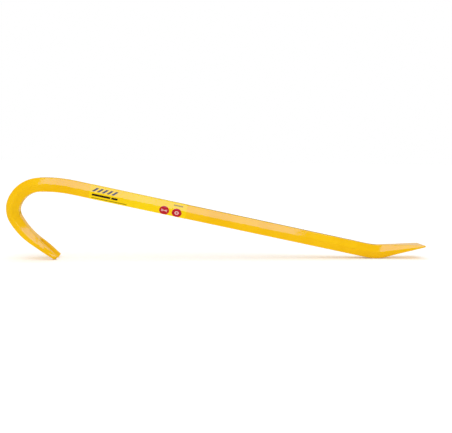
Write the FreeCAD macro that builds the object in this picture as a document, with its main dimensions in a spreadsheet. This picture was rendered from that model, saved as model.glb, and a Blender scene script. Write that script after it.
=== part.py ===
import FreeCAD, Part
import Sketcher
import math
import os

# A gooseneck wrecking bar: one steel forging of hexagonal stock with a printed label round its shaft.
#
# Frame of the part: millimetres, +Z up. The bar stands like a low bridge on its claw tips and on the
# heel of its chisel end, +X runs towards the chisel end, and the origin is on the floor under the
# middle of the bounding box.
# Frame of each body: X runs along the straight shaft towards the chisel end, Z points out of the
# shaft's upper flat, and the origin is on the shaft's centre line. The Placement of both bodies turns
# the shaft down to its lean and lifts it to its height, so that both ends touch the floor.

SIZES = {
    # straight shaft, rolled hexagonal stock with two flats square to the bend plane
    "across_flats": 15.28,
    "stock_corner_radius": 1.4,
    "shaft_left": 166.2,
    "shaft_right": 167.0,
    "straight_lead": 24.0,
    # gooseneck: four arcs in a row and a short straight run, all in the bend plane
    "shoulder_radius": 139.8,
    "shoulder_turn": 14.47,
    "crown_radius": 30.5,
    "crown_turn": 67.45,
    "throat_radius": 19.7,
    "throat_turn": 52.03,
    "claw_radius": 96.8,
    "claw_turn": 18.94,
    "claw_straight": 27.7,
    # the gooseneck is drawn out thinner and wider towards its claw
    "claw_taper": 137.9,
    "claw_thinning_power": 2.42,
    "claw_widening_power": 1.06,
    "claw_outer_flat_start": 67.0,
    "claw_outer_flat_full": 50.0,
    "claw_inner_flat_start": 39.7,
    "claw_inner_flat_full": 15.0,
    "claw_tip_inner": 2.2,
    "claw_tip_outer": 2.0,
    "claw_half_width": 12.0,
    "claw_side_bevel": 1.2,
    "claw_tip_corner_radius": 0.9,
    "claw_plan_radius": 6.0,
    # nail slot between the two tines, wider on the inner face; each outline lies slot_reach from
    # the claw's centre line, clear of the steel
    "slot_reach": 5.0,
    "slot_depth_inner": 27.5,
    "slot_depth_outer": 23.5,
    "slot_mouth_inner": 18.0,
    "slot_mouth_outer": 5.6,
    "slot_root_inner": 6.0,
    "slot_root_outer": 1.0,
    "run_out": 4.0,
    # chisel end: a short bend, then a blade that thins to an edge
    "heel_radius": 50.7,
    "heel_turn": 20.2,
    "blade_straight": 45.7,
    "blade_taper": 49.7,
    "blade_thinning_power": 1.06,
    "blade_widening_power": 1.34,
    "blade_flat_start": 49.7,
    "blade_flat_full": 0.0,
    "blade_edge_half": 0.9,
    "blade_half_width": 12.0,
    "blade_side_bevel": 0.5,
    "blade_edge_corner_radius": 0.3,
    # printed vinyl label, wrapped once round the shaft
    "label_start": -148.0,
    "label_length": 105.4,
    "label_thickness": 0.15,
    # stance on the floor
    "lean": 11.867,
    "shaft_height": 43.044,
    "shaft_shift": 3.16,
}

SHEET = "Dimensions"


def size(name):
    return "{}.{}".format(SHEET, name)


def make_sheet(doc):
    """Put every driving size in the spreadsheet, one row each, with its alias."""
    sheet = doc.addObject("Spreadsheet::Sheet", SHEET)
    for row, (name, value) in enumerate(SIZES.items(), start=1):
        sheet.set("A{}".format(row), name)
        sheet.set("B{}".format(row), str(value))
        sheet.setAlias("B{}".format(row), name)
    doc.recompute()
    return sheet


def origin_plane(body, role):
    return [item for item in body.Origin.OriginFeatures if item.Role == role][0]


def flat_sketch(body, name, role):
    """A sketch on one of the body's own origin planes."""
    sketch = body.newObject("Sketcher::SketchObject", name)
    sketch.AttachmentSupport = (origin_plane(body, role), [""])
    sketch.MapMode = "FlatFace"
    return sketch


def named(sketch, name, *constraint):
    """Add a dimension to a sketch under a name, so that an expression can drive it."""
    index = sketch.addConstraint(Sketcher.Constraint(*constraint))
    sketch.renameConstraint(index, name)
    return index


def drive(item, prop, expression):
    item.setExpression(prop, expression)


# ---------------------------------------------------------------------------------------------
# Rounded six-sided sections
# ---------------------------------------------------------------------------------------------

def corner_points(spec):
    """The six sharp corners of a section, anticlockwise from the right corner.

    spec holds numbers: the heights of the two flats, their half widths, the half width over the
    side corners, and the height of the side corners.
    """
    half_flat = spec["half_flat"]
    half_flat_below = spec["half_flat_below"]
    half_width = spec["half_width"]
    return [
        (half_width, spec["side_height"]),
        (half_flat, spec["upper"]),
        (-half_flat, spec["upper"]),
        (-half_width, spec["side_height"]),
        (-half_flat_below, -spec["lower"]),
        (half_flat_below, -spec["lower"]),
    ]


def rounded_edges(points, radius):
    """Lines and corner arcs of a closed outline with the given sharp corners (anticlockwise)."""
    count = len(points)
    corners = []
    for i in range(count):
        here = FreeCAD.Vector(*points[i], 0)
        back = (FreeCAD.Vector(*points[i - 1], 0) - here).normalize()
        ahead = (FreeCAD.Vector(*points[(i + 1) % count], 0) - here).normalize()
        half = back.getAngle(ahead) / 2
        reach = radius / math.tan(half)
        middle = here + (back + ahead).normalize() * (radius / math.sin(half))
        corners.append((here + back * reach, middle, here + ahead * reach))
    lines = []
    arcs = []
    for i in range(count):
        begin, centre, end = corners[i]
        circle = Part.Circle(centre, FreeCAD.Vector(0, 0, 1), radius)
        first = math.atan2(begin.y - centre.y, begin.x - centre.x)
        last = math.atan2(end.y - centre.y, end.x - centre.x)
        if last < first:
            last += 2 * math.pi
        arcs.append(Part.ArcOfCircle(circle, first, last))
        lines.append(Part.LineSegment(end, corners[(i + 1) % count][0]))
    return arcs, lines


def fill_section(sketch, spec, exact):
    """Draw one rounded six-sided section and tie its corners and radius to the spreadsheet."""
    points = corner_points(spec)
    arcs, lines = rounded_edges(points, spec["radius"])
    for i in range(6):
        sketch.addGeometry(arcs[i], False)
        sketch.addGeometry(lines[i], False)
    for point in points:
        sketch.addGeometry(Part.Point(FreeCAD.Vector(*point, 0)), True)
    for i in range(6):
        arc = 2 * i
        line = 2 * i + 1
        next_arc = (2 * i + 2) % 12
        sketch.addConstraint(Sketcher.Constraint("Tangent", arc, 2, line, 1))
        sketch.addConstraint(Sketcher.Constraint("Tangent", line, 2, next_arc, 1))
        sketch.addConstraint(Sketcher.Constraint("PointOnObject", 12 + i, 1, line))
        sketch.addConstraint(Sketcher.Constraint("PointOnObject", 12 + (i + 1) % 6, 1, line))
        if i:
            sketch.addConstraint(Sketcher.Constraint("Equal", 0, arc))
    for right, left in ((0, 3), (1, 2), (5, 4)):
        sketch.addConstraint(Sketcher.Constraint("Symmetric", 12 + right, 1, 12 + left, 1, -2))
    named(sketch, "radius", "Radius", 0, spec["radius"])
    named(sketch, "half_width", "DistanceX", -1, 1, 12, 1, spec["half_width"])
    named(sketch, "half_flat", "DistanceX", -1, 1, 13, 1, spec["half_flat"])
    named(sketch, "half_flat_below", "DistanceX", -1, 1, 17, 1, spec["half_flat_below"])
    named(sketch, "upper", "DistanceY", -1, 1, 13, 1, spec["upper"])
    named(sketch, "lower", "DistanceY", 17, 1, -1, 1, spec["lower"])
    named(sketch, "side_height", "DistanceY", 17, 1, 12, 1, spec["lower"] + spec["side_height"])
    for name, expression in exact.items():
        drive(sketch, "Constraints." + name, expression)


# ---------------------------------------------------------------------------------------------
# Size laws of the two drawn-out ends, as numbers and as spreadsheet expressions
# ---------------------------------------------------------------------------------------------

def arc_length(prefix):
    return SIZES[prefix + "_radius"] * math.radians(SIZES[prefix + "_turn"])


def arc_length_text(prefix):
    return "{} * {} * pi / 180".format(size(prefix + "_radius"), size(prefix + "_turn"))


def blend(first, last, share):
    return first + (last - first) * share


def blend_text(first, last, share):
    return "({0}) + (({1}) - ({0})) * ({2})".format(first, last, share)


def hexagon_spec():
    """The rolled stock: flats above and below, one corner to each side."""
    flats = SIZES["across_flats"]
    spec = {
        "half_flat": flats / math.sqrt(3) / 2,
        "half_flat_below": flats / math.sqrt(3) / 2,
        "half_width": flats / math.sqrt(3),
        "upper": flats / 2,
        "lower": flats / 2,
        "side_height": 0.0,
        "radius": SIZES["stock_corner_radius"],
    }
    flats_text = size("across_flats")
    exact = {
        "half_flat": flats_text + " / sqrt(3) / 2",
        "half_flat_below": flats_text + " / sqrt(3) / 2",
        "half_width": flats_text + " / sqrt(3)",
        "upper": flats_text + " / 2",
        "lower": flats_text + " / 2",
        "side_height": flats_text + " / 2",
        "radius": size("stock_corner_radius"),
    }
    return spec, exact


def flat_share(flat, distance):
    """How far a flat has widened, from 0 to 1, with a smooth start and finish."""
    run = SIZES[flat + "_start"] - SIZES[flat + "_full"]
    step = min(1.0, max(0.0, (SIZES[flat + "_start"] - distance) / run))
    return step ** 2 * (3 - 2 * step)


def flat_share_text(flat, distance_text):
    start = size(flat + "_start")
    full = size(flat + "_full")
    step = "min(1; max(0; ({0} - ({1})) / ({0} - {2})))".format(start, distance_text, full)
    return "pow({0}; 2) * (3 - 2 * {0})".format(step)


def drawn_spec(end, distance, distance_text):
    """A section of a drawn-out end; distance is how far it lies from the edge, along the path.

    end holds the names of the sizes: the taper's length, its two powers, the stretch over which
    each of the two flats widens to the whole width, the edge's two half thicknesses, its half
    width, its side bevel and its corner radius.
    """
    stock, stock_text = hexagon_spec()
    share = max(0.0, 1.0 - distance / SIZES[end["taper"]])
    share_text = "max(0; 1 - ({}) / {})".format(distance_text, size(end["taper"]))
    thin = share ** SIZES[end["thinning"]]
    wide = share ** SIZES[end["widening"]]
    half_width = blend(stock["half_width"], SIZES[end["half_width"]], wide)
    thin_text = "pow({}; {})".format(share_text, size(end["thinning"]))
    wide_text = "pow({}; {})".format(share_text, size(end["widening"]))
    half_width_text = blend_text(stock_text["half_width"], size(end["half_width"]), wide_text)
    flat_end = half_width - SIZES[end["bevel"]]
    flat_end_text = "{} - {}".format(half_width_text, size(end["bevel"]))
    above = flat_share(end["flat_above"], distance)
    below = flat_share(end["flat_below"], distance)
    above_text = flat_share_text(end["flat_above"], distance_text)
    below_text = flat_share_text(end["flat_below"], distance_text)
    upper = blend(stock["upper"], SIZES[end["upper"]], thin)
    lower = blend(stock["lower"], SIZES[end["lower"]], thin)
    upper_text = blend_text(stock_text["upper"], size(end["upper"]), thin_text)
    lower_text = blend_text(stock_text["lower"], size(end["lower"]), thin_text)
    spec = {
        "half_flat": blend(stock["half_flat"], flat_end, above),
        "half_flat_below": blend(stock["half_flat"], flat_end, below),
        "half_width": half_width,
        "upper": upper,
        "lower": lower,
        "side_height": (upper - lower) / 2,
        "radius": blend(stock["radius"], SIZES[end["radius"]], thin),
    }
    exact = {
        "half_flat": blend_text(stock_text["half_flat"], flat_end_text, above_text),
        "half_flat_below": blend_text(stock_text["half_flat"], flat_end_text, below_text),
        "half_width": half_width_text,
        "upper": upper_text,
        "lower": lower_text,
        "side_height": "(({}) + ({})) / 2".format(upper_text, lower_text),
        "radius": blend_text(stock_text["radius"], size(end["radius"]), thin_text),
    }
    return spec, exact


CLAW_END = {
    "sign": -1,
    "shaft": "shaft_left",
    "arcs": ("shoulder", "crown", "throat", "claw"),
    "straight": "claw_straight",
    "taper": "claw_taper",
    "thinning": "claw_thinning_power",
    "widening": "claw_widening_power",
    "flat_above": "claw_outer_flat",
    "flat_below": "claw_inner_flat",
    "upper": "claw_tip_outer",
    "lower": "claw_tip_inner",
    "half_width": "claw_half_width",
    "bevel": "claw_side_bevel",
    "radius": "claw_tip_corner_radius",
}

BLADE_END = {
    "sign": 1,
    "shaft": "shaft_right",
    "arcs": ("heel",),
    "straight": "blade_straight",
    "taper": "blade_taper",
    "thinning": "blade_thinning_power",
    "widening": "blade_widening_power",
    "flat_above": "blade_flat",
    "flat_below": "blade_flat",
    "upper": "blade_edge_half",
    "lower": "blade_edge_half",
    "half_width": "blade_half_width",
    "bevel": "blade_side_bevel",
    "radius": "blade_edge_corner_radius",
}


# ---------------------------------------------------------------------------------------------
# Centre lines
# ---------------------------------------------------------------------------------------------

def bend_path(body, name, end):
    """Centre line of one bent end, in the bend plane.

    It starts inside the straight shaft with a lead, turns left along tangent arcs and ends in a
    straight run.
    """
    sketch = flat_sketch(body, name, "XZ_Plane")
    sign = end["sign"]
    shaft_end = sign * SIZES[end["shaft"]]
    heading = 0.0 if sign > 0 else math.pi
    point = FreeCAD.Vector(shaft_end, 0, 0)
    lead = FreeCAD.Vector(shaft_end - sign * SIZES["straight_lead"], 0, 0)
    sketch.addGeometry(Part.LineSegment(lead, point), False)
    for prefix in end["arcs"]:
        radius = SIZES[prefix + "_radius"]
        turn = math.radians(SIZES[prefix + "_turn"])
        centre = point + FreeCAD.Vector(-math.sin(heading), math.cos(heading), 0) * radius
        first = heading - math.pi / 2
        circle = Part.Circle(centre, FreeCAD.Vector(0, 0, 1), radius)
        sketch.addGeometry(Part.ArcOfCircle(circle, first, first + turn), False)
        heading += turn
        point = centre + FreeCAD.Vector(math.sin(heading), -math.cos(heading), 0) * radius
    straight = SIZES[end["straight"]]
    last = point + FreeCAD.Vector(math.cos(heading), math.sin(heading), 0) * straight
    sketch.addGeometry(Part.LineSegment(point, last), False)
    tie_path(sketch, end)
    return sketch


def tie_path(sketch, end):
    """Tie a bent end's centre line to the spreadsheet."""
    last = len(end["arcs"]) + 1
    sketch.addConstraint(Sketcher.Constraint("PointOnObject", 0, 2, -1))
    sketch.addConstraint(Sketcher.Constraint("Horizontal", 0))
    for i in range(last):
        sketch.addConstraint(Sketcher.Constraint("Tangent", i, 2, i + 1, 1))
    for i, prefix in enumerate(end["arcs"], start=1):
        named(sketch, prefix + "_radius", "Radius", i, SIZES[prefix + "_radius"])
        named(sketch, prefix + "_turn", "Angle", i, math.radians(SIZES[prefix + "_turn"]))
        drive(sketch, "Constraints.{}_radius".format(prefix), size(prefix + "_radius"))
        drive(sketch, "Constraints.{}_turn".format(prefix), size(prefix + "_turn") + " * 1 deg")
    named(sketch, "straight", "Distance", last, SIZES[end["straight"]])
    named(sketch, "lead", "Distance", 0, SIZES["straight_lead"])
    order = (-1, 1, 0, 2) if end["sign"] > 0 else (0, 2, -1, 1)
    named(sketch, "shaft_end", "DistanceX", *order, SIZES[end["shaft"]])
    drive(sketch, "Constraints.straight", size(end["straight"]))
    drive(sketch, "Constraints.lead", size("straight_lead"))
    drive(sketch, "Constraints.shaft_end", size(end["shaft"]))


def station(body, path, edge, share, name, past_vertical=False):
    """A sketch square to one edge of a centre line, at a share of that edge's length.

    Its Y axis points to the outside of the bend. Past the vertical the attachment turns half
    round, so the offset turns it back.
    """
    sketch = body.newObject("Sketcher::SketchObject", name)
    sketch.AttachmentSupport = (path, [edge])
    sketch.MapMode = "NormalToEdge"
    sketch.MapPathParameter = share
    if past_vertical:
        half_round = FreeCAD.Rotation(FreeCAD.Vector(0, 0, 1), 180)
        sketch.AttachmentOffset = FreeCAD.Placement(FreeCAD.Vector(0, 0, 0), half_round)
    return sketch


# ---------------------------------------------------------------------------------------------
# Features of the forging
# ---------------------------------------------------------------------------------------------

def cross_sketch(body, name, distance_text):
    """A sketch square to the straight shaft, at a distance along it."""
    sketch = flat_sketch(body, name, "YZ_Plane")
    drive(sketch, "AttachmentOffset.Base.z", distance_text)
    return sketch


def make_shaft(doc, body):
    """The straight stock between the two ends."""
    start = "{} - {}".format(size("straight_lead"), size("shaft_left"))
    profile = cross_sketch(body, "shaft_section", start)
    fill_section(profile, *hexagon_spec())
    pad = body.newObject("PartDesign::Pad", "straight_shaft")
    pad.Profile = profile
    length = "{} + {} - 2 * {}".format(size("shaft_left"), size("shaft_right"), size("straight_lead"))
    drive(pad, "Length", length)
    doc.recompute()
    return pad


def end_sections(body, path, end, plan, prefix):
    """Sections from the straight shaft to the edge of one drawn-out end.

    plan lists, for the lead, each arc and the straight run in turn, the shares of its length at
    which a section stands. They are spaced evenly, so that the surface between them doesn't swell.
    """
    arcs = end["arcs"]
    lengths = [SIZES["straight_lead"]] + [arc_length(name) for name in arcs] + [SIZES[end["straight"]]]
    texts = [size("straight_lead")] + [arc_length_text(name) for name in arcs] + [size(end["straight"])]
    turns = [0.0] + [SIZES[name + "_turn"] for name in arcs] + [0.0]
    sections = []
    for leg, shares in enumerate(plan):
        for share in shares:
            distance = sum(lengths[leg:]) - share * lengths[leg]
            parts = ["({}) * {}".format(texts[leg], 1.0 - share)] + texts[leg + 1:]
            spec, exact = drawn_spec(end, distance, " + ".join(parts))
            past_vertical = sum(turns[:leg]) + share * turns[leg] > 90.0
            name = "{}_section_{}".format(prefix, len(sections) + 1)
            sketch = station(body, path, "Edge{}".format(leg + 1), share, name, past_vertical)
            fill_section(sketch, spec, exact)
            sections.append(sketch)
    return sections


def draw_out(doc, body, name, path, sections):
    """Sweep the sections along a bent end's centre line, each one blending into the next."""
    pipe = body.newObject("PartDesign::AdditivePipe", name)
    pipe.Profile = sections[0]
    pipe.Spine = (path, [])
    pipe.Transformation = "Multisection"
    pipe.Sections = sections[1:]
    doc.recompute()
    return pipe


def claw_plane(body, tip_section, name, offset_text):
    """A sketch parallel to the claw's faces: X across the claw, Y back from its tip."""
    sketch = body.newObject("Sketcher::SketchObject", name)
    sketch.AttachmentSupport = (tip_section, [""])
    sketch.MapMode = "ObjectXZ"
    drive(sketch, "AttachmentOffset.Base.z", offset_text)
    return sketch


def slot_outline(sketch, side):
    """Outline of the nail slot: two straight walls that meet in a round root."""
    half = SIZES["slot_mouth_" + side] / 2
    root = SIZES["slot_root_" + side]
    centre = SIZES["slot_depth_" + side] - root
    over = SIZES["run_out"]
    span = math.hypot(half, centre)
    heading = math.atan2(centre, -half) - math.asin(root / span)
    reach = math.sqrt(span * span - root * root)
    touch = FreeCAD.Vector(half + reach * math.cos(heading), reach * math.sin(heading), 0)
    foot = FreeCAD.Vector(half - over * math.cos(heading) / math.sin(heading), -over, 0)
    left_touch = FreeCAD.Vector(-touch.x, touch.y, 0)
    left_foot = FreeCAD.Vector(-foot.x, foot.y, 0)
    first = math.atan2(touch.y - centre, touch.x)
    circle = Part.Circle(FreeCAD.Vector(0, centre, 0), FreeCAD.Vector(0, 0, 1), root)
    sketch.addGeometry(Part.ArcOfCircle(circle, first, math.pi - first), False)
    sketch.addGeometry(Part.LineSegment(left_touch, left_foot), False)
    sketch.addGeometry(Part.LineSegment(left_foot, foot), False)
    sketch.addGeometry(Part.LineSegment(foot, touch), False)
    sketch.addGeometry(Part.Point(FreeCAD.Vector(half, 0, 0)), True)
    sketch.addConstraint(Sketcher.Constraint("Tangent", 0, 2, 1, 1))
    sketch.addConstraint(Sketcher.Constraint("Coincident", 1, 2, 2, 1))
    sketch.addConstraint(Sketcher.Constraint("Coincident", 2, 2, 3, 1))
    sketch.addConstraint(Sketcher.Constraint("Tangent", 3, 2, 0, 1))
    sketch.addConstraint(Sketcher.Constraint("PointOnObject", 0, 3, -2))
    sketch.addConstraint(Sketcher.Constraint("PointOnObject", 4, 1, 3))
    sketch.addConstraint(Sketcher.Constraint("PointOnObject", 4, 1, -1))
    sketch.addConstraint(Sketcher.Constraint("Symmetric", 2, 1, 2, 2, -2))
    named(sketch, "root", "Radius", 0, root)
    named(sketch, "root_centre", "DistanceY", -1, 1, 0, 3, centre)
    named(sketch, "half_mouth", "DistanceX", -1, 1, 4, 1, half)
    named(sketch, "run_out", "DistanceY", 2, 1, -1, 1, over)
    drive(sketch, "Constraints.root", size("slot_root_" + side))
    depth = "{} - {}".format(size("slot_depth_" + side), size("slot_root_" + side))
    drive(sketch, "Constraints.root_centre", depth)
    drive(sketch, "Constraints.half_mouth", size("slot_mouth_" + side) + " / 2")
    drive(sketch, "Constraints.run_out", size("run_out"))


def tine_corner(sketch, side):
    """What is taken off one outer corner of the claw's tip, side is 1 or -1."""
    wide = SIZES["claw_half_width"]
    radius = SIZES["claw_plan_radius"]
    over = SIZES["run_out"]
    centre = FreeCAD.Vector(side * (wide - radius), radius, 0)
    circle = Part.Circle(centre, FreeCAD.Vector(0, 0, 1), radius)
    base = sketch.GeometryCount
    if side > 0:
        arc = Part.ArcOfCircle(circle, -math.pi / 2, 0.0)
        tip_end, side_end = 1, 2
    else:
        arc = Part.ArcOfCircle(circle, math.pi, 3 * math.pi / 2)
        tip_end, side_end = 2, 1
    tip = FreeCAD.Vector(side * (wide - radius), 0, 0)
    below = FreeCAD.Vector(side * (wide - radius), -over, 0)
    outside = FreeCAD.Vector(side * (wide + over), -over, 0)
    above = FreeCAD.Vector(side * (wide + over), radius, 0)
    edge = FreeCAD.Vector(side * wide, radius, 0)
    sketch.addGeometry(arc, False)
    for begin, end in ((tip, below), (below, outside), (outside, above), (above, edge)):
        sketch.addGeometry(Part.LineSegment(begin, end), False)
    sketch.addConstraint(Sketcher.Constraint("Tangent", base, tip_end, -1))
    sketch.addConstraint(Sketcher.Constraint("Coincident", base, tip_end, base + 1, 1))
    for step in (1, 2, 3):
        sketch.addConstraint(Sketcher.Constraint("Coincident", base + step, 2, base + step + 1, 1))
    sketch.addConstraint(Sketcher.Constraint("Coincident", base + 4, 2, base, side_end))
    sketch.addConstraint(Sketcher.Constraint("Vertical", base + 1))
    sketch.addConstraint(Sketcher.Constraint("Horizontal", base + 2))
    sketch.addConstraint(Sketcher.Constraint("Vertical", base + 3))
    sketch.addConstraint(Sketcher.Constraint("Horizontal", base + 4))
    sketch.addConstraint(Sketcher.Constraint("Horizontal", base, 3, base, side_end))
    tag = "right_" if side > 0 else "left_"
    named(sketch, tag + "radius", "Radius", base, radius)
    named(sketch, tag + "over", "Distance", base + 1, over)
    named(sketch, tag + "beside", "Distance", base + 4, over)
    order = (-1, 1, base, side_end) if side > 0 else (base, side_end, -1, 1)
    named(sketch, tag + "wide", "DistanceX", *order, wide)
    drive(sketch, "Constraints.{}radius".format(tag), size("claw_plan_radius"))
    drive(sketch, "Constraints.{}over".format(tag), size("run_out"))
    drive(sketch, "Constraints.{}beside".format(tag), size("run_out"))
    drive(sketch, "Constraints.{}wide".format(tag), size("claw_half_width"))


def cut_slot(doc, body, tip_section):
    """The nail slot: a bevelled V through both faces of the claw."""
    inner = claw_plane(body, tip_section, "slot_inner_outline", size("slot_reach"))
    slot_outline(inner, "inner")
    outer = claw_plane(body, tip_section, "slot_outer_outline", "-" + size("slot_reach"))
    slot_outline(outer, "outer")
    slot = body.newObject("PartDesign::SubtractiveLoft", "nail_slot")
    slot.Profile = inner
    slot.Sections = [outer]
    slot.Ruled = True
    doc.recompute()
    return slot


def round_tips(doc, body, tip_section):
    """The rounded outer corners of the two tines."""
    sketch = claw_plane(body, tip_section, "tine_corners", "0")
    tine_corner(sketch, 1)
    tine_corner(sketch, -1)
    pocket = body.newObject("PartDesign::Pocket", "tine_rounding")
    pocket.Profile = sketch
    pocket.SideType = "Symmetric"
    pocket.Type = "Length"
    drive(pocket, "Length", "4 * " + size("slot_reach"))
    doc.recompute()
    return pocket


def check_cut(feature, before, least):
    """A cut that points away from the steel removes nothing and shows no error."""
    removed = before - feature.Shape.Volume
    if removed < least:
        raise RuntimeError("{} removed only {:.2f} cubic mm".format(feature.Name, removed))
    print("{} removes {:.1f} cubic mm".format(feature.Name, removed))


def stand(body):
    """Lean the shaft and lift it, so that the bar stands on the floor."""
    body.Placement = FreeCAD.Placement(
        FreeCAD.Vector(SIZES["shaft_shift"], 0, SIZES["shaft_height"]),
        FreeCAD.Rotation(FreeCAD.Vector(0, 1, 0), SIZES["lean"]),
    )
    drive(body, "Placement.Rotation.Angle", size("lean") + " * 1 deg")
    drive(body, "Placement.Base.x", size("shaft_shift"))
    drive(body, "Placement.Base.z", size("shaft_height"))


def make_bar(doc):
    body = doc.addObject("PartDesign::Body", "forged_bar")
    body.Label = "forged_bar"
    make_shaft(doc, body)

    gooseneck = bend_path(body, "gooseneck_path", CLAW_END)
    doc.recompute()
    plan = ((0.0, 0.5), (0.0, 0.33, 0.67), (0.0, 0.33, 0.67), (0.0, 0.5), (0.0, 0.5), (0.0, 0.33, 0.67, 1.0))
    hook = end_sections(body, gooseneck, CLAW_END, plan, "hook")
    doc.recompute()
    draw_out(doc, body, "gooseneck", gooseneck, hook)

    heel = bend_path(body, "heel_path", BLADE_END)
    doc.recompute()
    plan = ((0.0, 0.5), (0.0, 0.5), (0.0, 0.25, 0.5, 0.75, 1.0))
    blade = end_sections(body, heel, BLADE_END, plan, "blade")
    doc.recompute()
    solid = draw_out(doc, body, "chisel_end", heel, blade)

    before = solid.Shape.Volume
    slot = cut_slot(doc, body, hook[-1])
    check_cut(slot, before, 300)
    before = slot.Shape.Volume
    tips = round_tips(doc, body, hook[-1])
    check_cut(tips, before, 20)
    stand(body)
    doc.recompute()
    return body


def sleeve_section(body, name, thickness, thickness_text):
    """The stock's section, grown outwards by a thickness."""
    sketch = cross_sketch(body, name, size("label_start"))
    spec, exact = hexagon_spec()
    wide = thickness * 2 / math.sqrt(3)
    spec["half_flat"] += wide / 2
    spec["half_width"] += wide
    spec["upper"] += thickness
    spec["lower"] += thickness
    spec["radius"] += thickness
    grow = {
        "half_flat": " / sqrt(3)",
        "half_flat_below": " / sqrt(3)",
        "half_width": " * 2 / sqrt(3)",
        "upper": "",
        "lower": "",
        "side_height": "",
        "radius": "",
    }
    for key, factor in grow.items():
        exact[key] = "{} + {}{}".format(exact[key], thickness_text, factor)
    fill_section(sketch, spec, exact)
    return sketch


def make_label(doc):
    """The printed vinyl label, one closed sleeve tight round the six sides of the shaft."""
    body = doc.addObject("PartDesign::Body", "label_sleeve")
    body.Label = "label_sleeve"
    pad = body.newObject("PartDesign::Pad", "sleeve_outside")
    thickness = size("label_thickness")
    pad.Profile = sleeve_section(body, "outer_section", SIZES["label_thickness"], thickness)
    drive(pad, "Length", size("label_length"))
    doc.recompute()
    before = pad.Shape.Volume
    pocket = body.newObject("PartDesign::Pocket", "sleeve_bore")
    pocket.Profile = sleeve_section(body, "inner_section", 0.0, "0 * " + thickness)
    pocket.Type = "ThroughAll"
    pocket.Reversed = True
    doc.recompute()
    check_cut(pocket, before, 1000)
    stand(body)
    doc.recompute()
    return body


def check(doc, bodies):
    """Stop on any failed object, and on any sub-part without a sound solid."""
    for item in doc.Objects:
        if "Invalid" in item.State or "Error" in item.State:
            raise RuntimeError("{} failed: {}".format(item.Name, item.State))
    for body in bodies:
        shape = body.Shape
        if shape.isNull() or not shape.isValid() or len(shape.Solids) != 1:
            raise RuntimeError("{} has no sound solid".format(body.Label))
        box = shape.optimalBoundingBox(False)
        print("{}: volume {:.1f}, box x {:.3f} {:.3f} y {:.3f} {:.3f} z {:.3f} {:.3f}".format(
            body.Label, shape.Volume, box.XMin, box.XMax, box.YMin, box.YMax, box.ZMin, box.ZMax))


def main():
    doc = FreeCAD.newDocument("wrecking_bar")
    make_sheet(doc)
    bodies = [make_bar(doc), make_label(doc)]
    check(doc, bodies)
    os.makedirs("parts", exist_ok=True)
    for body in bodies:
        body.Shape.exportStep("parts/{}.step".format(body.Label))


main()
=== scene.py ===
import math

import bmesh
import bpy
from mathutils import Matrix, Vector


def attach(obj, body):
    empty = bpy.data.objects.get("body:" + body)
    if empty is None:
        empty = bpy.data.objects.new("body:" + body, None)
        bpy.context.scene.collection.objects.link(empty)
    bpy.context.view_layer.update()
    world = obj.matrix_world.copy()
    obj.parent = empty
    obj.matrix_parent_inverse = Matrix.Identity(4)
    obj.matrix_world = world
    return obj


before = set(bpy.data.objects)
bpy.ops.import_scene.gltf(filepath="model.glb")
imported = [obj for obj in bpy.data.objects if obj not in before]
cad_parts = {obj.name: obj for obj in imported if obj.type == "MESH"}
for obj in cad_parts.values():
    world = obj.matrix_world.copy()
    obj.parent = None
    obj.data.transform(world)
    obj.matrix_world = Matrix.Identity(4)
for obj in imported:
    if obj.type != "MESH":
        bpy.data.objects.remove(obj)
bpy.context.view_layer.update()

MM = 0.001

# ------------------------------------------------------------------------------------------------
# Sizes, in millimetres and degrees, the same as the CAD model's
# ------------------------------------------------------------------------------------------------

ACROSS_FLATS = 15.28
CORNER_RADIUS = 1.4
LEAN = math.radians(11.867)
STAND = Vector((3.16, 0.0, 43.044))

LABEL_THICKNESS = 0.15


def to_row(u, across, v):
    """A point of the shaft's own frame (along, across, up), in millimetres, in the row's metres."""
    x = u * math.cos(LEAN) + v * math.sin(LEAN) + STAND.x
    z = -u * math.sin(LEAN) + v * math.cos(LEAN) + STAND.z
    return Vector((x, across, z)) * MM


# ------------------------------------------------------------------------------------------------
# Materials
# ------------------------------------------------------------------------------------------------

# A Mix node repeats its sockets for each kind of data. These are the places of the colour ones.
MIX_FACTOR = 0
MIX_FIRST = 6
MIX_LAST = 7
MIX_RESULT = 2


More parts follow.
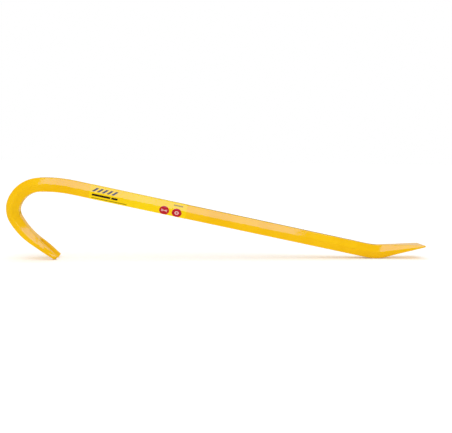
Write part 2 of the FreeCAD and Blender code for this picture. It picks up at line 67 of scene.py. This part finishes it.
class Recipe:
    """A node material under construction, with short helpers for the nodes it needs."""

    def __init__(self, name):
        self.material = bpy.data.materials.new(name)
        self.material.use_nodes = True
        self.tree = self.material.node_tree
        self.shader = self.tree.nodes["Principled BSDF"]
        self.place = self.tree.nodes.new("ShaderNodeTexCoord").outputs["Object"]

    def set(self, **values):
        """Values on the shader's own sockets, with spaces in socket names as underscores."""
        for name, value in values.items():
            self.shader.inputs[name.replace("_", " ")].default_value = value

    def link(self, output, name):
        self.tree.links.new(output, self.shader.inputs[name])

    def stretched(self, scale):
        """The object's coordinates, turned to the shaft's lean and scaled along each axis."""
        node = self.tree.nodes.new("ShaderNodeMapping")
        node.inputs["Scale"].default_value = scale
        node.inputs["Rotation"].default_value = (0.0, LEAN, 0.0)
        self.tree.links.new(self.place, node.inputs["Vector"])
        return node.outputs["Vector"]

    def noise(self, scale, detail=2.0, roughness=0.5, vector=None):
        node = self.tree.nodes.new("ShaderNodeTexNoise")
        node.inputs["Scale"].default_value = scale
        node.inputs["Detail"].default_value = detail
        node.inputs["Roughness"].default_value = roughness
        self.tree.links.new(vector or self.place, node.inputs["Vector"])
        return node.outputs["Fac"]

    def ramp(self, factor, low, high, first, last):
        """A number that runs from first to last while the factor runs from low to high."""
        node = self.tree.nodes.new("ShaderNodeMapRange")
        node.interpolation_type = "SMOOTHSTEP"
        node.inputs["From Min"].default_value = low
        node.inputs["From Max"].default_value = high
        node.inputs["To Min"].default_value = first
        node.inputs["To Max"].default_value = last
        self.tree.links.new(factor, node.inputs["Value"])
        return node.outputs["Result"]

    def blend(self, factor, first, last):
        """A colour between two, by a factor."""
        node = self.tree.nodes.new("ShaderNodeMix")
        node.data_type = "RGBA"
        self.tree.links.new(factor, node.inputs[MIX_FACTOR])
        node.inputs[MIX_FIRST].default_value = first + (1.0,)
        node.inputs[MIX_LAST].default_value = last + (1.0,)
        return node.outputs[MIX_RESULT]

    def bump(self, heights):
        """Bump from a list of (height output, distance in metres), finest last."""
        normal = None
        for height, distance in heights:
            node = self.tree.nodes.new("ShaderNodeBump")
            node.inputs["Distance"].default_value = distance
            node.inputs["Strength"].default_value = 1.0
            self.tree.links.new(height, node.inputs["Height"])
            if normal:
                self.tree.links.new(normal, node.inputs["Normal"])
            normal = node.outputs["Normal"]
        self.link(normal, "Normal")


ENAMEL_DEEP = (0.950, 0.535, 0.003)
ENAMEL_BRIGHT = (0.985, 0.580, 0.005)


def enamel():
    """Glossy yellow enamel sprayed on a forging: a slow change of shade and orange peel."""
    paint = Recipe("yellow_enamel")
    shade = paint.ramp(paint.noise(28.0, 3.0), 0.35, 0.65, 0.0, 1.0)
    paint.link(paint.blend(shade, ENAMEL_DEEP, ENAMEL_BRIGHT), "Base Color")
    paint.link(paint.ramp(paint.noise(900.0, 1.0), 0.3, 0.7, 0.05, 0.11), "Roughness")
    forging = paint.noise(75.0, 2.0, 0.5, paint.stretched((0.5, 1.0, 1.0)))
    peel = paint.noise(480.0, 1.5, 0.4)
    paint.bump([(forging, 0.00008), (peel, 0.00003)])
    paint.set(IOR=1.5, Specular_IOR_Level=0.5)
    return paint.material


VINYL_DEEP = (0.990, 0.660, 0.003)
VINYL_BRIGHT = (1.000, 0.700, 0.005)


def vinyl():
    """Glossy printed vinyl, smoother and brighter than the enamel under it."""
    film = Recipe("yellow_vinyl")
    shade = film.ramp(film.noise(40.0, 2.0), 0.3, 0.7, 0.0, 1.0)
    film.link(film.blend(shade, VINYL_DEEP, VINYL_BRIGHT), "Base Color")
    film.link(film.ramp(film.noise(500.0, 2.0), 0.3, 0.7, 0.06, 0.11), "Roughness")
    film.bump([(film.noise(90.0, 1.0), 0.00003), (film.noise(1500.0, 1.0), 0.000003)])
    film.set(IOR=1.5, Specular_IOR_Level=0.42)
    return film.material


def ink(name, deep, bright):
    """Printing ink with the same gloss as the vinyl and a fine unevenness in its cover."""
    print_ink = Recipe(name)
    cover = print_ink.ramp(print_ink.noise(1400.0, 2.0), 0.3, 0.7, 0.0, 1.0)
    print_ink.link(print_ink.blend(cover, deep, bright), "Base Color")
    print_ink.link(print_ink.ramp(print_ink.noise(500.0, 2.0), 0.3, 0.7, 0.14, 0.22), "Roughness")
    print_ink.set(IOR=1.5, Specular_IOR_Level=0.4)
    return print_ink.material


# ------------------------------------------------------------------------------------------------
# The label's print: thin closed shapes laid on the sleeve's flats and round its ridges
# ------------------------------------------------------------------------------------------------

SLEEVE_FLATS = ACROSS_FLATS + 2 * LABEL_THICKNESS
SLEEVE_RADIUS = CORNER_RADIUS + LABEL_THICKNESS
RIDGE_ARC = SLEEVE_RADIUS * math.radians(60)
FACET_FLAT = SLEEVE_FLATS / math.sqrt(3) - 2 * SLEEVE_RADIUS * math.tan(math.radians(30))
FACET_PITCH = RIDGE_ARC + FACET_FLAT
RIDGE_CENTRE = SLEEVE_FLATS / math.sqrt(3) - SLEEVE_RADIUS / math.cos(math.radians(30))
PRINT_TOP = 0.018
PRINT_ROOT = -0.05
MARK_STEP = 0.008
ARC_STEPS = 4


def on_sleeve(along, down, lift):
    """A point on the wrapped label.

    down is the distance round the sleeve from the ridge at the front, positive downwards.
    """
    ridge = math.floor((down + RIDGE_ARC / 2) / FACET_PITCH)
    run = down + RIDGE_ARC / 2 - ridge * FACET_PITCH
    turn = math.radians(180 + 60 * ridge)
    angle = turn - math.radians(30) + min(run, RIDGE_ARC) / SLEEVE_RADIUS
    centre = Vector((math.cos(turn), math.sin(turn))) * RIDGE_CENTRE
    normal = Vector((math.cos(angle), math.sin(angle)))
    spot = centre + normal * (SLEEVE_RADIUS + lift)
    if run > RIDGE_ARC:
        spot += Vector((-normal.y, normal.x)) * (run - RIDGE_ARC)
    return to_row(along, spot.x, spot.y)


def print_shapes(name, outlines, material, level=0.0):
    """One mesh of thin closed shapes, each an outline of (along, down) points on the sleeve.

    level lifts the shapes' tops above the tops of the shapes that they lie on.
    """
    mesh = bpy.data.meshes.new(name)
    work = bmesh.new()
    for outline in outlines:
        sheet = bmesh.new()
        sheet.faces.new([sheet.verts.new((x, y, 0.0)) for x, y in outline])
        low = min(y for _, y in outline)
        high = max(y for _, y in outline)
        for ridge in range(math.floor(low / FACET_PITCH), math.ceil(high / FACET_PITCH) + 1):
            for step in range(ARC_STEPS + 1):
                cut = ridge * FACET_PITCH + RIDGE_ARC * (step / ARC_STEPS - 0.5)
                if low < cut < high:
                    bmesh.ops.bisect_plane(
                        sheet, geom=sheet.verts[:] + sheet.edges[:] + sheet.faces[:],
                        plane_co=(0, cut, 0), plane_no=(0, 1, 0))
        top = {}
        root = {}
        for vert in sheet.verts:
            top[vert] = work.verts.new(on_sleeve(vert.co.x, vert.co.y, PRINT_TOP + level))
            root[vert] = work.verts.new(on_sleeve(vert.co.x, vert.co.y, PRINT_ROOT))
        for face in sheet.faces:
            work.faces.new([top[v] for v in face.verts])
            work.faces.new([root[v] for v in reversed(face.verts)])
        for edge in sheet.edges:
            if edge.is_boundary:
                loop = edge.link_loops[0]
                a, b = loop.vert, loop.link_loop_next.vert
                work.faces.new([top[b], top[a], root[a], root[b]])
        sheet.free()
    bmesh.ops.recalc_face_normals(work, faces=work.faces)
    bmesh.ops.triangulate(work, faces=[f for f in work.faces if len(f.verts) > 4])
    work.to_mesh(mesh)
    work.free()
    piece = bpy.data.objects.new(name, mesh)
    bpy.context.collection.objects.link(piece)
    mesh.materials.append(material)
    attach(piece, "root")
    return piece


def slanted(x, y, width, height, slope=0.22):
    """A leaning bar whose lower left corner is at x, y."""
    shift = slope * height
    return [(x, y), (x + width, y), (x + width + shift, y - height), (x + shift, y - height)]


def disc(x, y, radius, count=40):
    """A round outline."""
    turns = [2 * math.pi * i / count for i in range(count)]
    return [(x + radius * math.cos(t), y + radius * math.sin(t)) for t in turns]


STRIPES = {"x": -145.6, "y": -1.2, "count": 5, "pitch": 5.2, "width": 2.7, "height": 4.8, "slope": 0.9}
TITLE_BARS = ((-145.0, 19.6), (-124.2, 6.6))
TITLE = {"y": 4.0, "height": 2.6}
NOTE = {"x": -145.2, "y": 7.0, "width": 38.0, "height": 0.7}
CODE = {"x": -57.2, "y": -4.6, "width": 10.1, "height": 1.5}
RED_DISCS = ((-66.5, 3.5), (-52.7, 3.5))
DISC_RADIUS = 5.4
LENGTH_MARK = {"bar": 1.5, "half_bar": 0.45, "tip": 2.5, "foot": 1.2, "head": 1.5, "post": 0.6, "end": 1.7}
HEXAGON_MARK = (1.2, 2.6)


def stripes():
    """A row of wide leaning stripes."""
    marks = []
    for i in range(STRIPES["count"]):
        x = STRIPES["x"] + STRIPES["pitch"] * i
        marks.append(slanted(x, STRIPES["y"], STRIPES["width"], STRIPES["height"], STRIPES["slope"]))
    return marks


def title_bars():
    """A long and a short solid bar."""
    return [slanted(x, TITLE["y"], width, TITLE["height"]) for x, width in TITLE_BARS]


def note_line():
    """A long thin line."""
    return [slanted(NOTE["x"], NOTE["y"], NOTE["width"], NOTE["height"])]


def code_bar():
    """A small square-ended bar near the end of the label."""
    return [slanted(CODE["x"], CODE["y"], CODE["width"], CODE["height"], slope=0.0)]


def length_mark(x, y):
    """A double-headed arrow between two end lines."""
    bar, thin = LENGTH_MARK["bar"], LENGTH_MARK["half_bar"]
    head, tall = LENGTH_MARK["head"], LENGTH_MARK["end"]
    marks = [[(x - bar, y - thin), (x + bar, y - thin), (x + bar, y + thin), (x - bar, y + thin)]]
    for side in (1, -1):
        tip = x + side * LENGTH_MARK["tip"]
        foot = x + side * LENGTH_MARK["foot"]
        end = tip + side * LENGTH_MARK["post"]
        marks.append([(tip, y), (foot, y - head), (foot, y + head)])
        marks.append([(tip, y - tall), (end, y - tall), (end, y + tall), (tip, y + tall)])
    return marks


def section_mark(x, y):
    """A hexagon ring, for the section of the bar."""
    marks = []
    inner, outer = HEXAGON_MARK
    for i in range(6):
        corners = []
        for reach, turn in ((inner, i), (outer, i), (outer, i + 1), (inner, i + 1)):
            angle = math.radians(60 * turn)
            corners.append((x + reach * math.cos(angle), y + reach * math.sin(angle)))
        marks.append(corners)
    return marks


def print_label():
    slate = ink("slate_ink", (0.090, 0.080, 0.070), (0.105, 0.095, 0.085))
    pink = ink("pink_ink", (0.820, 0.480, 0.460), (0.860, 0.540, 0.520))
    black = ink("black_ink", (0.020, 0.012, 0.004), (0.035, 0.020, 0.006))
    red = ink("red_ink", (0.500, 0.010, 0.020), (0.560, 0.014, 0.024))
    grey = ink("grey_ink", (0.400, 0.280, 0.060), (0.460, 0.320, 0.070))
    print_shapes("label_stripes", stripes(), slate)
    print_shapes("label_title", title_bars(), black)
    print_shapes("label_note", note_line(), black)
    print_shapes("label_code", code_bar(), grey)
    print_shapes("label_discs", [disc(x, y, DISC_RADIUS) for x, y in RED_DISCS], red)
    marks = length_mark(*RED_DISCS[0]) + section_mark(*RED_DISCS[1])
    print_shapes("label_disc_marks", marks, pink, MARK_STEP)


# ------------------------------------------------------------------------------------------------
# The studio, in metres
# ------------------------------------------------------------------------------------------------

CAMERA_PLACE = Vector((-0.04142, -0.58917, 0.10640))
CAMERA_AIM = Vector((0.00520, 0.0, 0.04655))
CAMERA_ROLL = 0.70
CAMERA_LENS = 42.81
CAMERA_SENSOR = 36.0

FLOOR_CORNERS = ((-60.0, -20.0), (60.0, -20.0), (60.0, 100.0), (-60.0, 100.0))
FLOOR_GLOW = 0.14

SUN_STRENGTH = 1.20
SUN_SPREAD = 70
CARD_BLUE = (0.15, 0.30, 1.0)
CARD_ROSE = (1.0, 0.88, 0.90)
CARD_BRIGHT = 3.8
BACK_BRIGHT = 0.60
FLOOR_BRIGHT = 0.55


def make_camera():
    data = bpy.data.cameras.new("camera")
    camera = bpy.data.objects.new("camera", data)
    bpy.context.collection.objects.link(camera)
    data.lens = CAMERA_LENS
    data.sensor_width = CAMERA_SENSOR
    data.sensor_fit = "HORIZONTAL"
    data.clip_start = 0.01
    data.clip_end = 50.0
    data.dof.use_dof = False
    look = (CAMERA_AIM - CAMERA_PLACE).to_track_quat("-Z", "Y").to_matrix()
    look = look @ Matrix.Rotation(math.radians(CAMERA_ROLL), 3, "Z")
    camera.matrix_world = Matrix.Translation(CAMERA_PLACE) @ look.to_4x4()
    bpy.context.scene.camera = camera


def lamp(name, kind, place, aim, energy):
    """A light at a place, turned to a point and unseen by the camera."""
    data = bpy.data.lights.new(name, kind)
    data.energy = energy
    light = bpy.data.objects.new(name, data)
    bpy.context.collection.objects.link(light)
    place = Vector(place)
    look = (Vector(aim) - place).to_track_quat("-Z", "Y").to_matrix()
    light.matrix_world = Matrix.Translation(place) @ look.to_4x4()
    light.visible_camera = False
    return light


def reflector(name, place, aim, size, radiance, colour):
    """A bright card that lights no matt surface and shows as a reflection in glossy ones."""
    light = lamp(name, "AREA", place, aim, radiance * math.pi * size[0] * size[1])
    light.data.shape = "RECTANGLE"
    light.data.size = size[0]
    light.data.size_y = size[1]
    light.data.color = colour
    light.visible_diffuse = False
    return light


def make_floor():
    """A wide, plain, pale floor."""
    mesh = bpy.data.meshes.new("floor")
    work = bmesh.new()
    work.faces.new([work.verts.new((x, y, 0.0)) for x, y in FLOOR_CORNERS])
    work.to_mesh(mesh)
    work.free()
    floor = bpy.data.objects.new("floor", mesh)
    bpy.context.collection.objects.link(floor)
    paper = Recipe("floor_paper")
    tone = paper.ramp(paper.noise(3.0), 0.3, 0.7, 0.0, 1.0)
    paper.link(paper.blend(tone, (0.94, 0.94, 0.94), (0.95, 0.95, 0.95)), "Base Color")
    paper.set(Roughness=0.9, Specular_IOR_Level=0.0)
    paper.set(Emission_Color=(1.0, 1.0, 1.0, 1.0), Emission_Strength=FLOOR_GLOW)
    mesh.materials.append(paper.material)
    floor.visible_glossy = False


SKY_SEEN = 1.0
SKY_LIGHT = 0.66
SKY_GLOSS = 0.08


def make_world():
    """White to the eye, softer as a light, and dark in reflections."""
    world = bpy.data.worlds.new("studio")
    bpy.context.scene.world = world
    world.use_nodes = True
    tree = world.node_tree
    rays = tree.nodes.new("ShaderNodeLightPath")
    seen = tree.nodes.new("ShaderNodeMapRange")
    seen.inputs["To Min"].default_value = SKY_LIGHT
    seen.inputs["To Max"].default_value = SKY_SEEN
    tree.links.new(rays.outputs["Is Camera Ray"], seen.inputs["Value"])
    reflected = tree.nodes.new("ShaderNodeMapRange")
    reflected.inputs["To Max"].default_value = SKY_GLOSS
    tree.links.new(rays.outputs["Is Glossy Ray"], reflected.inputs["Value"])
    tree.links.new(seen.outputs["Result"], reflected.inputs["To Min"])
    background = tree.nodes["Background"]
    background.inputs["Color"].default_value = (1.0, 1.0, 1.0, 1.0)
    tree.links.new(reflected.outputs["Result"], background.inputs["Strength"])


def make_studio():
    make_camera()
    make_floor()
    make_world()
    overhead = lamp("overhead", "SUN", (-0.3, -0.5, 2.0), (0.0, 0.0, 0.0), SUN_STRENGTH)
    overhead.data.angle = math.radians(SUN_SPREAD)
    overhead.visible_glossy = False
    softbox = {"place": (0.055, -1.06, 0.85), "aim": (0.055, -1.06, 0.0), "size": (0.95, 1.40)}
    reflector("softbox", radiance=CARD_BRIGHT, colour=CARD_BLUE, **softbox)
    claw_card = {"place": (0.40, -0.215, 0.85), "aim": (0.40, -0.215, 0.0), "size": (0.46, 0.29)}
    reflector("claw_card", radiance=CARD_BRIGHT, colour=CARD_BLUE, **claw_card)
    back_card = {"place": (0.30, 1.6, 0.74), "aim": (0.30, 0.0, 0.74), "size": (3.2, 1.12)}
    reflector("back_card", radiance=BACK_BRIGHT, colour=CARD_ROSE, **back_card)
    floor_card = {"place": (0.30, 1.4, 0.001), "aim": (0.30, 1.4, 1.0), "size": (3.2, 2.4)}
    reflector("floor_card", radiance=FLOOR_BRIGHT, colour=CARD_ROSE, **floor_card)
    bpy.context.scene.view_settings.view_transform = "Standard"


# ------------------------------------------------------------------------------------------------
# The object
# ------------------------------------------------------------------------------------------------

def paint_node(name, material):
    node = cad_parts[name]
    node.data.materials.clear()
    node.data.materials.append(material)


paint_node("forged_bar", enamel())
paint_node("label_sleeve", vinyl())
print_label()
make_studio()
